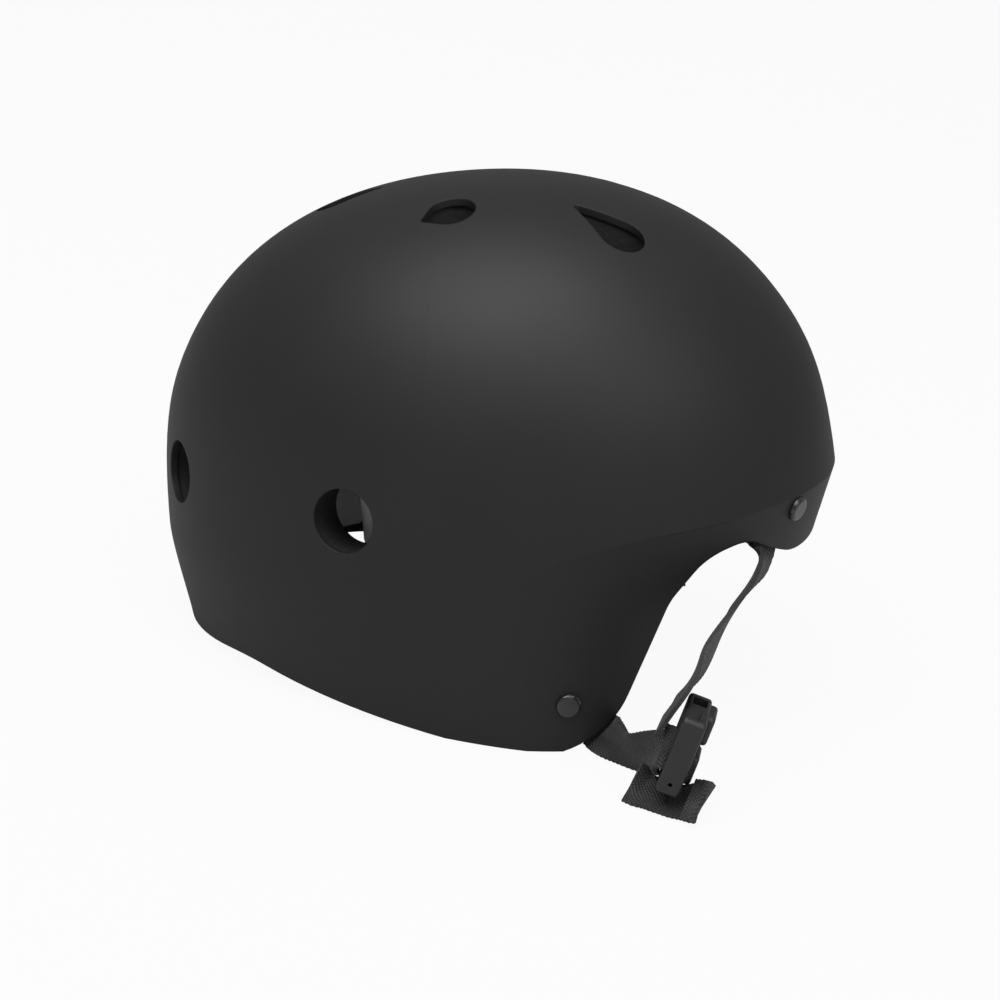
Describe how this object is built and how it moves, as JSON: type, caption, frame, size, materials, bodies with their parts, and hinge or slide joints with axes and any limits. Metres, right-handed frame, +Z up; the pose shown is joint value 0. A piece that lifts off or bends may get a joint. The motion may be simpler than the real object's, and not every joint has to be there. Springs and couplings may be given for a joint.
{
  "type": "skateboard helmet",
  "caption": "Deep rounded skate helmet with ear flaps, drop-shaped and round vents, foam liner, comfort pads and webbing chin straps with a side-release buckle.",
  "frame": {"origin": "on the table, under the middle of the dome, where the helmet stands on its brow edge and both ear flaps", "axes": "+X towards the wearer's left (the side with the buckle socket), +Y towards the nape, +Z up from the table"},
  "size_m": [0.238, 0.2604, 0.1895],
  "materials": {
    "shell": "fine satin black, moulded ABS",
    "foam": "black expanded polystyrene",
    "pad": "light grey brushed fabric over foam",
    "patch": "black hook-and-loop",
    "rivet": "glossy black domed cap",
    "washer": "zinc plated",
    "webbing": "black woven polypropylene",
    "buckle": "dark grey moulded acetal"
  },
  "bodies": {
    "helmet": {"outer_shell": "shell", "foam_liner": "foam", "brow_pad": "pad", "nape_pad": "pad", "left_side_pad": "pad", "right_side_pad": "pad", "crown_pad": "pad", "pad_patches": "patch", "strap_rivets": "rivet", "rivet_washers": "washer", "left_front_anchor": "webbing", "right_front_anchor": "webbing", "left_nape_anchor": "webbing", "right_nape_anchor": "webbing"},
    "left_straps": {"left_front_strap": "webbing", "left_nape_strap": "webbing", "left_strap_tail": "webbing"},
    "socket": {"buckle_socket": "buckle"},
    "right_straps": {"right_front_strap": "webbing", "right_nape_strap": "webbing"},
    "chin": {"chin_strap": "webbing"},
    "plug": {"buckle_plug": "buckle"},
    "keeper": {"strap_keeper": "buckle"}
  },
  "joints": [
    {"name": "left_strap_swing", "type": "hinge", "parent": "helmet", "child": "left_straps", "pos_m": [0.0806, 0.065, 0.007], "axis": [-0.4151, 0.4836, 0.7706], "range_deg": [-3, 130]},
    {"name": "socket_tilt", "type": "hinge", "parent": "left_straps", "child": "socket", "pos_m": [0.1216, 0.0996, 0.0239], "axis": [0, 0.2149, 0.9766], "range_deg": [-4, 0]},
    {"name": "right_strap_swing", "type": "hinge", "parent": "helmet", "child": "right_straps", "pos_m": [-0.0806, 0.065, 0.007], "axis": [0.4151, 0.4836, 0.7706], "range_deg": [0, 12]},
    {"name": "chin_strap_fold", "type": "hinge", "parent": "right_straps", "child": "chin", "pos_m": [-0.0306, 0.0469, 0.0105], "axis": [0.4188, 0.572, 0.7053], "range_deg": [0, 8]},
    {"name": "plug_tilt", "type": "hinge", "parent": "chin", "child": "plug", "pos_m": [0.002, -0.06, 0.0048], "axis": [1, 0, 0], "range_deg": [-20, 15]},
    {"name": "keeper_slide", "type": "slide", "parent": "chin", "child": "keeper", "axis": [0, 1, 0], "range_m": [-0.008, 0.022]}
  ]
}
